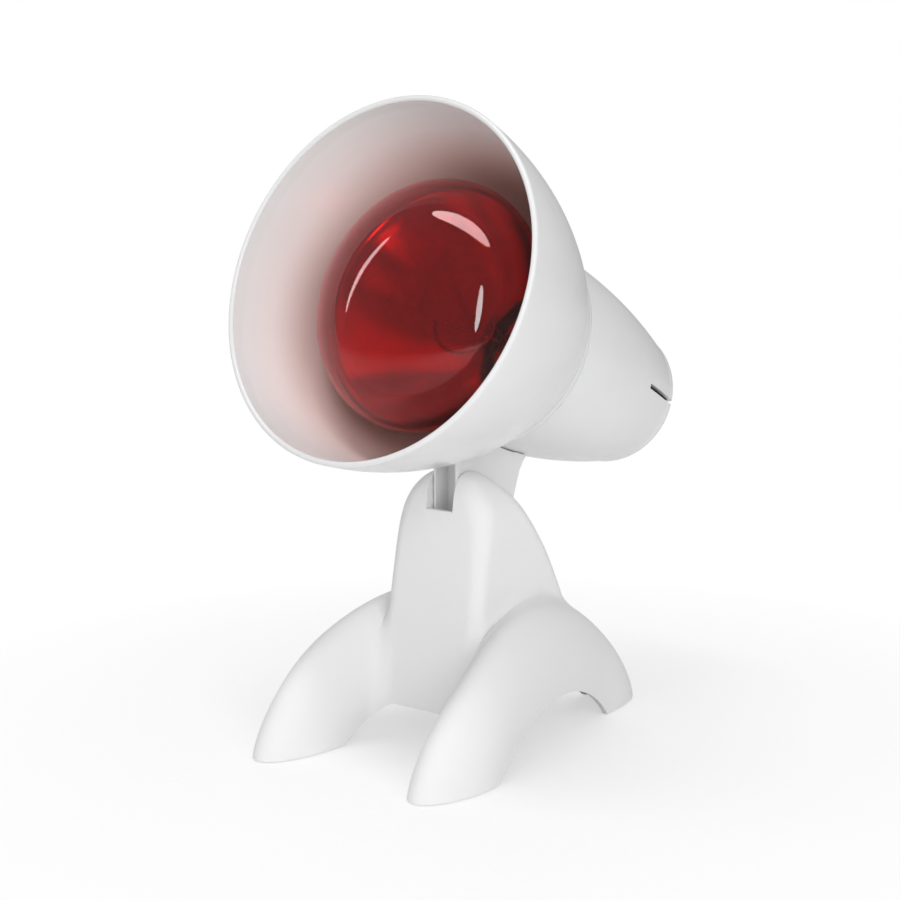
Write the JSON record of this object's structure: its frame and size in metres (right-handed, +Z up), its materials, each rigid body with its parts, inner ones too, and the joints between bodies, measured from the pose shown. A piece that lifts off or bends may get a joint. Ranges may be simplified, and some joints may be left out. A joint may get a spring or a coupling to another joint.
{
  "type": "infrared heat lamp",
  "caption": "White table-top infrared heat lamp: bell hood with a red reflector bulb, tilting on a stand with two arched legs.",
  "frame": {"origin": "on the table, under the middle of the lamp's overall length and width", "axes": "+Z up, the hood looks towards -Y, +X is the viewer's right from the front"},
  "size_m": [0.136, 0.1902, 0.2411],
  "materials": {
    "white_shell": "glossy white",
    "red_glass": "deep red, see-through",
    "mirror_coat": "vapour-deposited reflector",
    "nickel": "nickel plated",
    "brass": "plain",
    "steel": "zinc plated",
    "tungsten": "dark wire",
    "ceramic": "white glazed porcelain",
    "black_glass": "vitreous black",
    "clear_glass": "clear",
    "rubber": "matt black",
    "white_rubber": "matt white",
    "brown_sleeve": "wire sleeve",
    "blue_sleeve": "wire sleeve",
    "nylon": "natural nylon"
  },
  "bodies": {
    "stand_body": {"stand": "white_shell", "foot_pad_1": "rubber", "foot_pad_2": "rubber", "foot_pad_3": "rubber", "foot_pad_4": "rubber", "base_cover": "white_shell", "cover_screw_1": "steel", "cover_screw_2": "steel", "cover_screw_3": "steel", "cover_screw_4": "steel", "pivot_bolt": "steel", "spring_washer": "steel", "pivot_washer": "steel", "pivot_nut": "steel", "friction_washer_left": "nylon", "friction_washer_right": "nylon"},
    "head_body": {"hood": "white_shell", "rear_housing": "white_shell", "holder_bracket": "steel", "bracket_screw_left": "steel", "bracket_screw_right": "steel", "holder_screw_left": "steel", "holder_screw_right": "steel", "housing_screw_1": "steel", "housing_screw_2": "steel", "housing_screw_3": "steel", "housing_screw_4": "steel", "cord_gland": "white_rubber", "bulb_glass": "red_glass", "bulb_mirror": "mirror_coat", "bulb_cap": "nickel", "cap_contact": "nickel", "support_wire_left": "nickel", "support_wire_right": "nickel", "cap_insulator": "black_glass", "bulb_stem": "clear_glass", "filament": "tungsten", "lampholder_body": "ceramic", "lampholder_shell": "brass", "centre_contact": "brass", "terminal_upper": "brass", "terminal_lower": "brass", "lead_wire_upper": "brown_sleeve", "lead_wire_lower": "blue_sleeve"}
  },
  "joints": [
    {"name": "head_tilt", "type": "hinge", "parent": "stand_body", "child": "head_body", "pos_m": [0, -0.01735, 0.09], "axis": [-1, 0, 0], "range_deg": [-25, 25]}
  ]
}
